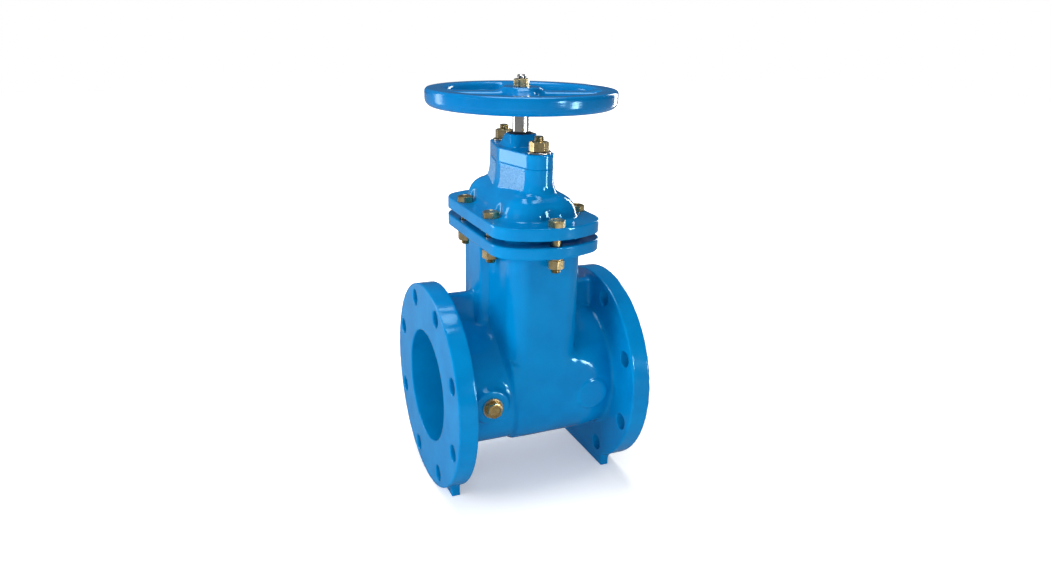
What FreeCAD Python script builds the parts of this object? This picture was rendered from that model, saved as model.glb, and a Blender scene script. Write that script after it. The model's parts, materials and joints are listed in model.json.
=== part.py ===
"""Non-rising-stem resilient-seated gate valve, DN150 with class 125 flanges.

X runs along the pipe, Y across it and Z up the stem.  Every sub-part is drawn about the pipe
axis and then lifted by axis_height, so that the valve stands on Z = 0 on its two feet.
"""
import FreeCAD, Part
import os
import re

import Sketcher

DIMENSIONS = {
    # pipe flanges and barrel
    "face_to_face": 266.7,
    "flange_diameter": 279.4,
    "flange_thickness": 25.4,
    "flange_bolt_circle": 241.3,
    "flange_bolt_hole": 22.2,
    "port_diameter": 152.4,
    "barrel_diameter": 176.0,
    "axis_height": 140.7,
    "foot_length": 128.0,
    "foot_thickness": 11.5,
    # chest: the housing round the wedge
    "chest_half_width": 49.0,
    "chest_half_length": 99.5,
    "chest_corner": 24.0,
    "cavity_corner": 14.0,
    "chest_knee": 90.5,
    "chest_bottom_radius": 89.5,
    "chest_wall": 10.0,
    "taper_top": 50.0,
    "taper_bottom": -95.0,
    "taper_slope": 0.168,
    # ribs from the chest to the pipe flanges
    "pilaster_reach": 64.0,
    "pilaster_half_width": 22.0,
    "web_half_width": 8.0,
    "web_top": 126.5,
    # round bosses low on the barrel
    "boss_offset": 74.0,
    "boss_radius": 23.0,
    "drain_face": 97.0,
    "blank_face": 92.5,
    "drain_hole": 20.0,
    # bolted joint between body and bonnet
    "cover_half_width": 72.0,
    "cover_half_length": 126.5,
    "cover_corner": 40.0,
    "cover_end_radius": 100.0,
    "cover_end_drop": 8.5,
    "body_plate_bottom": 199.5,
    "body_plate_top": 214.5,
    "land_height": 3.0,
    "land_margin": 11.0,
    "gasket_thickness": 2.5,
    "bonnet_plate_bottom": 223.0,
    "bonnet_plate_top": 238.4,
    "cover_bolt_side": 59.0,
    "cover_bolt_row": 48.0,
    "cover_bolt_end": 116.0,
    "cover_bolt_hole": 14.5,
    "bolt_diameter": 12.7,
    "bolt_head_flats": 19.0,
    "bolt_head_height": 8.0,
    "bolt_nut_height": 13.5,
    "bolt_point": 180.5,
    # bonnet dome and neck
    "dome_half_width": 48.5,
    "dome_half_length": 98.0,
    "dome_corner": 36.0,
    "dome_shoulder": 27.0,
    "dome_top": 268.0,
    "dome_wall": 10.0,
    "neck_top": 299.0,
    "neck_radius": 32.0,
    "neck_lobe_radius": 19.0,
    "hub_pocket_radius": 25.5,
    "hub_pocket_top": 264.0,
    # gland housing on top of the neck
    "gland_top": 317.0,
    "gland_boss_base": 22.5,
    "gland_boss_depth": 27.0,
    "gland_boss_corner": 8.0,
    "gland_boss_tip_corner": 13.0,
    "gland_boss_tip": 18.2,
    "gland_boss_top": 334.0,
    "gland_stud_offset": 58.0,
    "gland_stud_hole": 14.0,
    "gland_stud_root": 276.0,
    "gland_stud_tip": 338.0,
    "gland_nut_flats": 22.0,
    "gland_nut_height": 12.3,
    "gland_washer_diameter": 30.0,
    "gland_washer_thickness": 2.2,
    # stem, its thrust collar and its seals
    "stem_diameter": 22.0,
    "running_clearance": 0.05,
    "collar_radius": 20.0,
    "collar_bottom": 291.0,
    "collar_top": 303.0,
    "thrust_washer_thickness": 3.0,
    "chamber_radius": 20.5,
    "bush_radius": 16.0,
    "bush_bottom": 308.0,
    "bush_top": 330.0,
    "seal_section": 3.5,
    "lower_seal_level": 312.0,
    "upper_seal_level": 322.5,
    "wiper_top": 336.4,
    "face_seal_inner": 24.5,
    "face_seal_outer": 27.5,
    "face_seal_depth": 2.6,
    "stem_bottom": 79.0,
    "stem_square": 16.0,
    "stem_square_corner": 1.5,
    "stem_relief": 0.5,
    "stem_square_bottom": 372.0,
    "stem_square_top": 390.5,
    "stem_stud_diameter": 12.0,
    "stem_top": 406.5,
    # handwheel
    "wheel_radius": 122.4,
    "wheel_inner_radius": 97.5,
    "wheel_bottom": 367.5,
    "wheel_top": 390.0,
    "rim_outer_low": 10.0,
    "rim_outer_top": 3.5,
    "rim_inner_top": 6.0,
    "rim_inner_low": 9.0,
    "hub_radius": 20.0,
    "hub_bottom": 370.0,
    "hub_top": 391.9,
    "hub_cap_radius": 26.0,
    "hub_cap_thickness": 6.0,
    "hub_cap_edge": 1.5,
    "spoke_hub_half_width": 15.0,
    "spoke_rim_half_width": 17.0,
    "spoke_half_height": 6.0,
    "spoke_root": 14.0,
    "spoke_bite": 5.0,
    "spoke_level": 380.5,
    "wheel_nut_flats": 18.0,
    "wheel_nut_height": 9.7,
    "wheel_turn": -15.0,
    # wedge
    "wedge_gap": 0.4,
    "wedge_coat": 3.0,
    "wedge_passage": 13.0,
    "wedge_half_width": 35.0,
    "lining": 1.5,
    "wedge_hub_radius": 24.0,
    "wedge_hub_top": 103.0,
    "stem_nut_width": 30.0,
    "stem_nut_bottom": 80.0,
    "stem_nut_top": 100.0,
    "stem_nut_play": 0.2,
    "stem_nut_corner": 1.0,
    "shoe_half_width": 13.0,
    "shoe_bottom": 38.0,
    "shoe_top": 60.0,
    "shoe_outer": 83.0,
    "lug_reach": 74.0,
    "lug_root": 40.0,
    # drain plug
    "plug_flats": 19.0,
    "plug_head": 9.0,
    "plug_washer_radius": 13.8,
    "plug_washer_thickness": 2.0,
    "plug_length": 16.0,
}

DIMENSION_CELLS = {name: f"Dims.{name}" for name in DIMENSIONS}
FLANGE_BOLTS = 8
SPOKES = 4

PLANES = {
    "XY": FreeCAD.Rotation(),
    "YZ": FreeCAD.Rotation(FreeCAD.Vector(1, 1, 1), 120),
    "XZ": FreeCAD.Rotation(FreeCAD.Vector(1, 0, 0), 90),
}

doc = FreeCAD.newDocument("gate_valve")
sheet = doc.addObject("Spreadsheet::Sheet", "Dims")


def fill_sheet():
    for row, (alias, value) in enumerate(DIMENSIONS.items(), start=1):
        sheet.set(f"A{row}", alias)
        sheet.set(f"B{row}", str(value))
        sheet.setAlias(f"B{row}", alias)
    doc.recompute()


def cell(text):
    """Expression text in which every dimension's name stands for its cell."""
    return re.sub("[a-z_]+", lambda word: DIMENSION_CELLS.get(word[0], word[0]), text)


def number(text):
    return float(sheet.evalExpression(cell(text)))


def bind(obj, **expressions):
    """Bind properties to the sheet; a double underscore stands for a dot."""
    for name, text in expressions.items():
        obj.setExpression(name.replace("__", "."), cell(text))
    return obj


def place(obj, x="0", y="0", z="0"):
    return bind(obj, Placement__Base__x=x, Placement__Base__y=y, Placement__Base__z=z)


# Sketch outlines ------------------------------------------------------------------------------

def constrain(sketch, kind, geometry, point, text):
    index = sketch.addConstraint(Sketcher.Constraint(kind, geometry, point, number(text)))
    sketch.setExpression(f"Constraints[{index}]", cell(text))


def add_circle(sketch, x, y, radius):
    centre = FreeCAD.Vector(number(x), number(y), 0)
    circle = Part.Circle(centre, FreeCAD.Vector(0, 0, 1), number(radius))
    geometry = sketch.addGeometry(circle, False)
    constrain(sketch, "DistanceX", geometry, 3, x)
    constrain(sketch, "DistanceY", geometry, 3, y)
    index = sketch.addConstraint(Sketcher.Constraint("Radius", geometry, number(radius)))
    sketch.setExpression(f"Constraints[{index}]", cell(radius))


def tangent_ends(start, end):
    """Ends of the outer tangent from one circle to the next, going anticlockwise."""
    (centre_a, radius_a), (centre_b, radius_b) = start, end
    along = centre_b - centre_a
    distance = along.Length
    along.normalize()
    side = FreeCAD.Vector(along.y, -along.x, 0)
    lean = (radius_a - radius_b) / distance
    normal = along * lean + side * (1 - lean * lean) ** 0.5
    return centre_a + normal * radius_a, centre_b + normal * radius_b


def add_hull(sketch, rounds):
    """Closed outline stretched round circles (x, y, radius); radius "0" is a sharp corner."""
    count = len(rounds)
    circles = [(FreeCAD.Vector(number(x), number(y), 0), number(r)) for x, y, r in rounds]
    spans = [tangent_ends(circles[i], circles[(i + 1) % count]) for i in range(count)]
    lines = [sketch.addGeometry(Part.LineSegment(*span), False) for span in spans]
    for i, (x, y, r) in enumerate(rounds):
        before = lines[i - 1]
        centre, radius = circles[i]
        if radius == 0:
            sketch.addConstraint(Sketcher.Constraint("Coincident", before, 2, lines[i], 1))
            constrain(sketch, "DistanceX", lines[i], 1, x)
            constrain(sketch, "DistanceY", lines[i], 1, y)
            continue
        first = spans[i - 1][1] - centre
        last = spans[i][0] - centre
        turn = (FreeCAD.Vector(1, 0, 0).getAngle(first) * (1 if first.y >= 0 else -1),
                FreeCAD.Vector(1, 0, 0).getAngle(last) * (1 if last.y >= 0 else -1))
        whole = Part.Circle(centre, FreeCAD.Vector(0, 0, 1), radius)
        arc = sketch.addGeometry(Part.ArcOfCircle(whole, *turn), False)
        constrain(sketch, "DistanceX", arc, 3, x)
        constrain(sketch, "DistanceY", arc, 3, y)
        index = sketch.addConstraint(Sketcher.Constraint("Radius", arc, radius))
        sketch.setExpression(f"Constraints[{index}]", cell(r))
        sketch.addConstraint(Sketcher.Constraint("Tangent", before, 2, arc, 1))
        sketch.addConstraint(Sketcher.Constraint("Tangent", arc, 2, lines[i], 1))


def polygon(points):
    return [(x, y, "0") for x, y in points]


def rounded_rectangle(half_x, half_y, corner):
    x, y = f"{half_x} - {corner}", f"{half_y} - {corner}"
    signs = [(1, 1), (-1, 1), (-1, -1), (1, -1)]
    return [(f"{sx} * ( {x} )", f"{sy} * ( {y} )", corner) for sx, sy in signs]


def cover_outline(inset="0"):
    """Bolted joint's outline: straight sides, round corners and bowed ends."""
    x = "( cover_half_width - cover_corner )"
    y = "( cover_half_length - cover_corner - cover_end_drop )"
    bow = "( cover_half_length - cover_end_radius )"
    corner = f"cover_corner - {inset}"
    return [(x, y, corner), ("0", bow, f"cover_end_radius - {inset}"), (f"-1 * {x}", y, corner),
            (f"-1 * {x}", f"-1 * {y}", corner),
            ("0", f"-1 * {bow}", f"cover_end_radius - {inset}"), (x, f"-1 * {y}", corner)]


def neck_outline(radius, lobe):
    return [("0", "0", radius), ("0", "gland_stud_offset", lobe),
            ("0", "0", radius), ("0", "-1 * gland_stud_offset", lobe)]


def cover_bolt_places():
    sides = [(sx, sy) for sx in (1, -1) for sy in (1, -1)]
    places = [(f"{sx} * cover_bolt_side", f"{sy} * cover_bolt_row") for sx, sy in sides]
    return places + [("0", f"{sy} * cover_bolt_end") for sy in (1, -1)]


def gland_stud_places():
    return [("0", f"{side} * gland_stud_offset") for side in (1, -1)]


# Part workbench objects -----------------------------------------------------------------------

def free_sketch(name, plane, offset="0"):
    sketch = doc.addObject("Sketcher::SketchObject", name)
    sketch.Placement.Rotation = PLANES[plane]
    axis = {"XY": "z", "YZ": "x", "XZ": "y"}[plane]
    sketch.setExpression(f"Placement.Base.{axis}", cell(offset))
    return sketch


def extrude(name, plane, start, length, outline=(), circles=()):
    """Solid drawn on a plane and pulled along that plane's positive axis."""
    sketch = free_sketch(f"{name}_sketch", plane, start)
    if outline:
        add_hull(sketch, outline)
    for x, y, radius in circles:
        add_circle(sketch, x, y, radius)
    solid = doc.addObject("Part::Extrusion", name)
    solid.Base = sketch
    solid.DirMode = "Custom"
    solid.Dir = {"XY": FreeCAD.Vector(0, 0, 1), "YZ": FreeCAD.Vector(1, 0, 0),
                 "XZ": FreeCAD.Vector(0, 1, 0)}[plane]
    solid.Solid = True
    return bind(solid, LengthFwd=length)


def block(name, x, y, z, length, width, height):
    return place(bind(doc.addObject("Part::Box", name), Length=length, Width=width,
                      Height=height), x, y, z)


def cylinder(name, radius, height, x="0", y="0", z="0", axis="Z"):
    solid = doc.addObject("Part::Cylinder", name)
    turn = {"Z": FreeCAD.Rotation(), "X": FreeCAD.Rotation(FreeCAD.Vector(0, 1, 0), 90),
            "Y": FreeCAD.Rotation(FreeCAD.Vector(1, 0, 0), -90)}
    solid.Placement.Rotation = turn[axis]
    return place(bind(solid, Radius=radius, Height=height), x, y, z)


def loft(name, sections):
    """Solid through rounded rectangles (level, half_x, half_y, corner)."""
    drawn = []
    for index, (level, half_x, half_y, corner) in enumerate(sections):
        sketch = free_sketch(f"{name}_section_{index}", "XY", level)
        add_hull(sketch, rounded_rectangle(half_x, half_y, corner))
        drawn.append(sketch)
    solid = doc.addObject("Part::Loft", name)
    solid.Sections = drawn
    solid.Solid = True
    solid.Ruled = True
    return solid


def fuse(name, shapes):
    result = doc.addObject("Part::MultiFuse", name)
    result.Shapes = shapes
    return result


def common(name, shapes):
    result = doc.addObject("Part::MultiCommon", name)
    result.Shapes = shapes
    return result


def cut(name, base, tool):
    result = doc.addObject("Part::Cut", name)
    result.Base = base
    result.Tool = tool
    result.Refine = False
    return result


def finish(obj, label):
    """Name a sub-part and lift it from the pipe axis to its place above the feet."""
    obj.Label = label
    place(obj, z="axis_height")
    NODES.append(obj)
    return obj


def turn_with_wheel(obj):
    """The stem and the pieces locked to it stand with one spoke at this angle from +X."""
    obj.setExpression("Placement.Rotation.Angle", f"{cell('wheel_turn')} * 1 deg")


def group(label, members):
    """Identical loose pieces that share one node."""
    compound = doc.addObject("Part::Compound", f"{label}_group")
    compound.Links = members
    return finish(compound, label)


# PartDesign bodies ----------------------------------------------------------------------------

def new_body(label):
    body = doc.addObject("PartDesign::Body", f"{label}_body")
    return finish(body, label)


def body_sketch(body, name, plane, offset="0"):
    sketch = body.newObject("Sketcher::SketchObject", name)
    planes = {item.Role: item for item in body.Origin.OriginFeatures}
    sketch.AttachmentSupport = [(planes[f"{plane}_Plane"], "")]
    sketch.MapMode = "FlatFace"
    sketch.setExpression("AttachmentOffset.Base.z", cell(offset))
    return sketch


def revolve(body, name, outline, circles=(), kind="PartDesign::Revolution"):
    """Full turn about the stem axis of an outline given as (radius, level, corner)."""
    sketch = body_sketch(body, f"{name}_profile", "XZ")
    if outline:
        add_hull(sketch, outline)
    for x, y, radius in circles:
        add_circle(sketch, x, y, radius)
    feature = body.newObject(kind, name)
    feature.Profile = sketch
    feature.ReferenceAxis = (sketch, ["V_Axis"])
    feature.Angle = 360
    return feature


def pad(body, name, start, length, outline=(), circles=(), kind="PartDesign::Pad", downward=False):
    sketch = body_sketch(body, f"{name}_profile", "XY", start)
    if outline:
        add_hull(sketch, outline)
    for x, y, radius in circles:
        add_circle(sketch, x, y, radius)
    feature = body.newObject(kind, name)
    feature.Profile = sketch
    feature.Reversed = downward
    return bind(feature, Length=length)


def ring(label, inner, outer, bottom, top):
    """Plain washer, gasket or seal of square section round the stem axis."""
    body = new_body(label)
    revolve(body, f"{label}_turn", polygon([(inner, bottom), (outer, bottom), (outer, top),
                                            (inner, top)]))
    return body


# Body casting ---------------------------------------------------------------------------------

def chest_edges(shape):
    """Edges where the end walls meet the side walls, which run round the whole chest."""
    rim = number("body_plate_top")
    found = []
    for index, edge in enumerate(shape.Edges, start=1):
        box = edge.BoundBox
        on_side = abs(edge.CenterOfMass.x) > 1
        level = box.ZLength < 1
        if on_side and not level and box.ZMin < rim - 1:
            found.append(index)
    return found


def chest_solid(name, inset, corner):
    """Tapered housing shape with rounded corners, shrunk all round by inset."""
    width = f"( chest_half_width - {inset} )"
    length = f"( chest_half_length - {inset} )"
    foot_width = f"( {width} - taper_slope * ( taper_top - taper_bottom ) )"
    front = extrude(f"{name}_front", "XZ", "-1 * chest_half_length - 1",
                    "2 * chest_half_length + 2", outline=polygon([
                        (foot_width, "taper_bottom"), (width, "taper_top"),
                        (width, "body_plate_top"), (f"-1 * {width}", "body_plate_top"),
                        (f"-1 * {width}", "taper_top"), (f"-1 * {foot_width}", "taper_bottom")]))
    side = extrude(f"{name}_side", "YZ", "-2 * chest_half_width", "4 * chest_half_width", outline=[
        ("0", "0", f"chest_bottom_radius - {inset}"),
        (length, "chest_knee", "0"), (length, "body_plate_top", "0"),
        (f"-1 * {length}", "body_plate_top", "0"), (f"-1 * {length}", "chest_knee", "0")])
    sharp = common(f"{name}_sharp", [front, side])
    doc.recompute()
    rounded = doc.addObject("Part::Fillet", name)
    rounded.Base = sharp
    radius = number(corner)
    rounded.Edges = [(index, radius, radius) for index in chest_edges(sharp.Shape)]
    return rounded


def flange_hole_places():
    step = 360 / FLANGE_BOLTS
    angles = [step * (index + 0.5) for index in range(FLANGE_BOLTS)]
    arm = "flange_bolt_circle / 2"
    return [(f"{arm} * cos({a} )", f"{arm} * sin({a} )", "flange_bolt_hole / 2") for a in angles]


def make_body_casting():
    half = "face_to_face / 2"
    back = "( face_to_face / 2 - flange_thickness )"
    solids = [cylinder("barrel", "barrel_diameter / 2", "face_to_face", x=f"-1 * {half}", axis="X"),
              chest_solid("chest", "0", "chest_corner"),
              extrude("body_plate", "XY", "body_plate_bottom",
                      "body_plate_top - body_plate_bottom", outline=cover_outline()),
              extrude("body_land", "XY", "body_plate_top - 1", "land_height + 1",
                      outline=rounded_rectangle("( chest_half_width - chest_wall + land_margin )",
                                                "( chest_half_length - chest_wall + land_margin )",
                                                "chest_corner"))]
    holes = []
    for side, word in ((-1, "left"), (1, "right")):
        inner = back if side > 0 else f"-1 * {half}"
        solids.append(cylinder(f"{word}_flange", "flange_diameter / 2", "flange_thickness",
                               x=inner, axis="X"))
        foot_start = back if side > 0 else f"-1 * {back} - foot_thickness"
        solids.append(block(f"{word}_foot", foot_start, "-1 * foot_length / 2",
                            "-1 * axis_height", "foot_thickness", "foot_length", "40"))
        pilaster_start = "0" if side > 0 else "-1 * pilaster_reach"
        solids.append(block(f"{word}_pilaster", pilaster_start, "-1 * pilaster_half_width", "0",
                            "pilaster_reach", "2 * pilaster_half_width", "body_plate_top - 5"))
        web_start = "0" if side > 0 else f"-1 * {back} - 2"
        solids.append(block(f"{word}_web", web_start, "-1 * web_half_width", "0",
                            f"{back} + 2", "2 * web_half_width", "web_top"))
        holes.append(extrude(f"{word}_flange_holes", "YZ",
                             f"{back} - 1" if side > 0 else f"-1 * {half} - 1",
                             "flange_thickness + 2", circles=flange_hole_places()))
    solids.append(cylinder("drain_boss", "boss_radius", "drain_face", x="-1 * boss_offset",
                           y="-1 * drain_face", axis="Y"))
    solids.append(cylinder("blank_boss", "boss_radius", "blank_face", x="boss_offset",
                           y="-1 * blank_face", axis="Y"))
    holes.append(cylinder("port", "port_diameter / 2", "face_to_face + 20",
                          x=f"-1 * {half} - 10", axis="X"))
    holes.append(chest_solid("chest_cavity", "chest_wall", "cavity_corner"))
    holes.append(extrude("chest_mouth", "XY", "body_plate_top - 2", "land_height + 4",
                         outline=rounded_rectangle("( chest_half_width - chest_wall )",
                                                   "( chest_half_length - chest_wall )",
                                                   "cavity_corner")))
    holes.append(cylinder("drain_bore", "drain_hole / 2", "drain_face + 5",
                          x="-1 * boss_offset", y="-1 * drain_face - 5", axis="Y"))
    holes.append(extrude("body_bolt_holes", "XY", "body_plate_bottom - 5", "30",
                         circles=[(x, y, "cover_bolt_hole / 2") for x, y in cover_bolt_places()]))
    finish(cut("body_cut", fuse("body_outside", solids), fuse("body_hollows", holes)),
           "body_casting")


# Bonnet ---------------------------------------------------------------------------------------

def dome_sections(inset, bottom, top):
    """Levels of a dome whose shoulder is a quarter round, drawn as stacked sections."""
    steps = 6
    sections = [(bottom, f"( dome_half_width - {inset} )", f"( dome_half_length - {inset} )",
                 f"( dome_corner - {inset} )")]
    for index in range(steps):
        angle = 80 * index / (steps - 1)
        pull = f"( {inset} + dome_shoulder * ( 1 - cos({angle} ) ) )"
        level = f"( {top} - dome_shoulder + dome_shoulder * sin({angle} ) )"
        sections.append((level, f"( dome_half_width - {pull} )", f"( dome_half_length - {pull} )",
                         f"( dome_corner - {pull} )"))
    return sections


def make_bonnet_casting():
    solids = [extrude("bonnet_plate", "XY", "bonnet_plate_bottom",
                      "bonnet_plate_top - bonnet_plate_bottom", outline=cover_outline()),
              extrude("bonnet_land", "XY", "bonnet_plate_bottom - land_height", "land_height + 1",
                      outline=rounded_rectangle("( chest_half_width - chest_wall + land_margin )",
                                                "( chest_half_length - chest_wall + land_margin )",
                                                "chest_corner")),
              loft("dome", dome_sections("0", "bonnet_plate_top - 1", "dome_top")),
              extrude("neck", "XY", "bonnet_plate_top", "neck_top - bonnet_plate_top",
                      outline=neck_outline("neck_radius", "neck_lobe_radius"))]
    inside_top = "( dome_top - dome_wall )"
    holes = [loft("dome_cavity", dome_sections("dome_wall", "bonnet_plate_bottom - land_height - 1",
                                               inside_top)),
             cylinder("hub_pocket", "hub_pocket_radius", "hub_pocket_top - bonnet_plate_bottom",
                      z="bonnet_plate_bottom"),
             cylinder("bonnet_stem_hole", "stem_diameter / 2 + running_clearance", "60",
                      z="hub_pocket_top - 10"),
             cylinder("thrust_chamber", "chamber_radius", "40",
                      z="collar_bottom - thrust_washer_thickness"),
             cut("gland_seal_groove",
                 cylinder("groove_outside", "face_seal_outer", "10", z="neck_top - face_seal_depth"),
                 cylinder("groove_inside", "face_seal_inner", "10", z="neck_top - face_seal_depth")),
             extrude("bonnet_bolt_holes", "XY", "bonnet_plate_bottom - 5", "30",
                     circles=[(x, y, "cover_bolt_hole / 2") for x, y in cover_bolt_places()]),
             extrude("stud_holes", "XY", "gland_stud_root", "40",
                     circles=[(x, y, "bolt_diameter / 2") for x, y in gland_stud_places()])]
    finish(cut("bonnet_cut", fuse("bonnet_outside", solids), fuse("bonnet_hollows", holes)),
           "bonnet_casting")


def make_bonnet_gasket():
    outside = rounded_rectangle("( chest_half_width - chest_wall + land_margin )",
                                "( chest_half_length - chest_wall + land_margin )", "chest_corner")
    inside = rounded_rectangle("( chest_half_width - chest_wall )",
                               "( chest_half_length - chest_wall )",
                               "cavity_corner")
    body = new_body("bonnet_gasket")
    pad(body, "gasket_sheet", "body_plate_top + land_height", "gasket_thickness", outline=outside)
    pad(body, "gasket_window", "body_plate_top + land_height", "gasket_thickness + 1",
        outline=inside, kind="PartDesign::Pocket", downward=True)


# Fasteners ------------------------------------------------------------------------------------

def hexagon(name, flats, height, x, y, z):
    """Hexagonal prism with flats towards +X and -X and its upper corners turned off."""
    prism = place(bind(doc.addObject("Part::Prism", f"{name}_prism"),
                       Circumradius=f"{flats} / 2 / cos(30 )", Height=height), x, y, z)
    prism.Polygon = 6
    prism.Placement.Rotation = FreeCAD.Rotation(FreeCAD.Vector(0, 0, 1), 30)
    cone = doc.addObject("Part::Cone", f"{name}_cone")
    bind(cone, Radius1=f"{flats} / 2 + {height} * 1.732", Radius2=f"{flats} / 2 * 0.97",
         Height=height)
    place(cone, x, y, z)
    return common(name, [prism, cone])


def make_bonnet_bolts():
    bolts = []
    nuts = []
    for index, (x, y) in enumerate(cover_bolt_places()):
        head = hexagon(f"bolt_head_{index}", "bolt_head_flats", "bolt_head_height", x, y,
                       "bonnet_plate_top")
        shank = cylinder(f"bolt_shank_{index}", "bolt_diameter / 2",
                         "bonnet_plate_top - bolt_point + 1", x, y, "bolt_point")
        bolts.append(fuse(f"bolt_{index}", [head, shank]))
        level = "body_plate_bottom - bolt_nut_height"
        blank = hexagon(f"bolt_nut_blank_{index}", "bolt_head_flats", "bolt_nut_height", x, y, level)
        bore = cylinder(f"bolt_nut_bore_{index}", "bolt_diameter / 2", "40", x, y, f"{level} - 5")
        nuts.append(cut(f"bolt_nut_{index}", blank, bore))
    group("bonnet_bolts", bolts)
    group("bonnet_nuts", nuts)


def make_gland_fasteners():
    studs = []
    nuts = []
    washers = []
    seat = "gland_top + gland_washer_thickness"
    for index, (x, y) in enumerate(gland_stud_places()):
        studs.append(cylinder(f"gland_stud_{index}", "bolt_diameter / 2",
                              "gland_stud_tip - gland_stud_root", x, y, "gland_stud_root"))
        disc = cylinder(f"washer_disc_{index}", "gland_washer_diameter / 2",
                        "gland_washer_thickness", x, y, "gland_top")
        eye = cylinder(f"washer_eye_{index}", "bolt_diameter / 2", "20", x, y, "gland_top - 5")
        washers.append(cut(f"gland_washer_{index}", disc, eye))
        blank = hexagon(f"gland_nut_blank_{index}", "gland_nut_flats", "gland_nut_height", x, y, seat)
        bore = cylinder(f"gland_nut_bore_{index}", "bolt_diameter / 2", "40", x, y, "gland_top")
        nuts.append(cut(f"gland_nut_{index}", blank, bore))
    group("gland_studs", studs)
    group("gland_nuts", nuts)
    group("gland_washers", washers)


# Gland housing, seals and thrust pieces -------------------------------------------------------

def make_gland_housing():
    plate = extrude("gland_plate", "XY", "neck_top", "gland_top - neck_top",
                    outline=neck_outline("neck_radius", "neck_lobe_radius"))
    boss = loft("gland_boss", [
        ("gland_top - 1", "gland_boss_base", "gland_boss_depth", "gland_boss_corner"),
        ("gland_boss_top", "gland_boss_tip", "gland_boss_tip", "gland_boss_tip_corner")])
    hollows = [cylinder("housing_chamber", "chamber_radius",
                        "collar_top + thrust_washer_thickness - neck_top + 5", z="neck_top - 5"),
               cylinder("housing_shoulder", "stem_diameter / 2 + stem_relief", "60", z="neck_top"),
               cylinder("housing_bore", "bush_radius", "60", z="bush_bottom"),
               extrude("housing_stud_holes", "XY", "neck_top - 1", "40",
                       circles=[(x, y, "gland_stud_hole / 2") for x, y in gland_stud_places()])]
    finish(cut("housing_cut", fuse("housing_outside", [plate, boss]),
               fuse("housing_hollows", hollows)), "gland_housing")


def make_gland_bush():
    stem = "stem_diameter / 2 + running_clearance"
    body = new_body("gland_bush")
    revolve(body, "bush_turn", polygon([(stem, "bush_bottom"), ("bush_radius", "bush_bottom"),
                                        ("bush_radius", "bush_top"), (stem, "bush_top")]))
    for word in ("lower", "upper"):
        level = f"{word}_seal_level"
        revolve(body, f"{word}_seal_groove", polygon([
            (f"{stem} - 1", level), (f"{stem} + seal_section", level),
            (f"{stem} + seal_section", f"{level} + seal_section"),
            (f"{stem} - 1", f"{level} + seal_section")]), kind="PartDesign::Groove")


def make_seals():
    stem = "stem_diameter / 2 + running_clearance"
    for word in ("lower", "upper"):
        level = f"{word}_seal_level"
        ring(f"{word}_stem_seal", stem, f"{stem} + seal_section", level, f"{level} + seal_section")
    ring("stem_wiper", stem, "bush_radius", "bush_top", "wiper_top")
    ring("gland_seal", "face_seal_inner", "face_seal_outer", "neck_top - face_seal_depth",
         "neck_top")
    ring("lower_thrust_washer", stem, "collar_radius", "collar_bottom - thrust_washer_thickness",
         "collar_bottom")
    ring("upper_thrust_washer", stem, "collar_radius", "collar_top",
         "collar_top + thrust_washer_thickness")


# Stem and handwheel ---------------------------------------------------------------------------

def make_stem():
    shaft = "stem_diameter / 2"
    stud = "stem_stud_diameter / 2"
    body = new_body("stem")
    revolve(body, "stem_turn", polygon([
        ("0", "stem_bottom"), (shaft, "stem_bottom"), (shaft, "collar_bottom"),
        ("collar_radius", "collar_bottom"), ("collar_radius", "collar_top"),
        (shaft, "collar_top"), (shaft, "stem_square_bottom"), (stud, "stem_square_bottom"),
        (stud, "stem_top"), ("0", "stem_top")]))
    half = "stem_square / 2"
    pad(body, "stem_square_end", "stem_square_bottom - 1", "stem_square_top - stem_square_bottom + 1",
        outline=rounded_rectangle(half, half, "stem_square_corner"))
    turn_with_wheel(body)


def make_handwheel():
    body = new_body("handwheel")
    revolve(body, "rim", [
        ("wheel_radius - rim_outer_low", "wheel_bottom + rim_outer_low", "rim_outer_low"),
        ("wheel_radius - rim_outer_top", "wheel_top - rim_outer_top", "rim_outer_top"),
        ("wheel_inner_radius + rim_inner_top", "wheel_top - rim_inner_top", "rim_inner_top"),
        ("wheel_inner_radius + rim_inner_low", "wheel_bottom + rim_inner_low", "rim_inner_low")])
    arm = body_sketch(body, "arm_at_hub", "YZ", "spoke_root")
    add_hull(arm, arm_section("spoke_hub_half_width"))
    end = body_sketch(body, "arm_at_rim", "YZ", "wheel_inner_radius + spoke_bite")
    add_hull(end, arm_section("spoke_rim_half_width"))
    spoke = body.newObject("PartDesign::AdditiveLoft", "spoke")
    spoke.Profile = arm
    spoke.Sections = [end]
    spoke.Ruled = True
    doc.recompute()
    spokes = body.newObject("PartDesign::PolarPattern", "spokes")
    spokes.Originals = [spoke]
    axes = {item.Role: item for item in body.Origin.OriginFeatures}
    spokes.Axis = (axes["Z_Axis"], [""])
    spokes.Angle = 360
    spokes.Occurrences = SPOKES
    body.Tip = spokes
    revolve(body, "hub", polygon([
        ("0", "hub_bottom"), ("hub_radius", "hub_bottom"),
        ("hub_radius", "hub_top - hub_cap_thickness"),
        ("hub_cap_radius", "hub_top - hub_cap_thickness"), ("hub_cap_radius", "hub_top - hub_cap_edge"),
        ("hub_cap_radius - hub_cap_edge", "hub_top"), ("0", "hub_top")]))
    half = "stem_square / 2"
    pad(body, "square_eye", "hub_top + 1", "hub_top - hub_bottom + 5", kind="PartDesign::Pocket",
        outline=rounded_rectangle(half, half, "stem_square_corner"))
    pad(body, "hub_counterbore", "hub_bottom - 1", "stem_square_bottom - hub_bottom + 1",
        circles=[("0", "0", "stem_diameter / 2 + stem_relief")], kind="PartDesign::Pocket", downward=True)
    turn_with_wheel(body)


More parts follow.
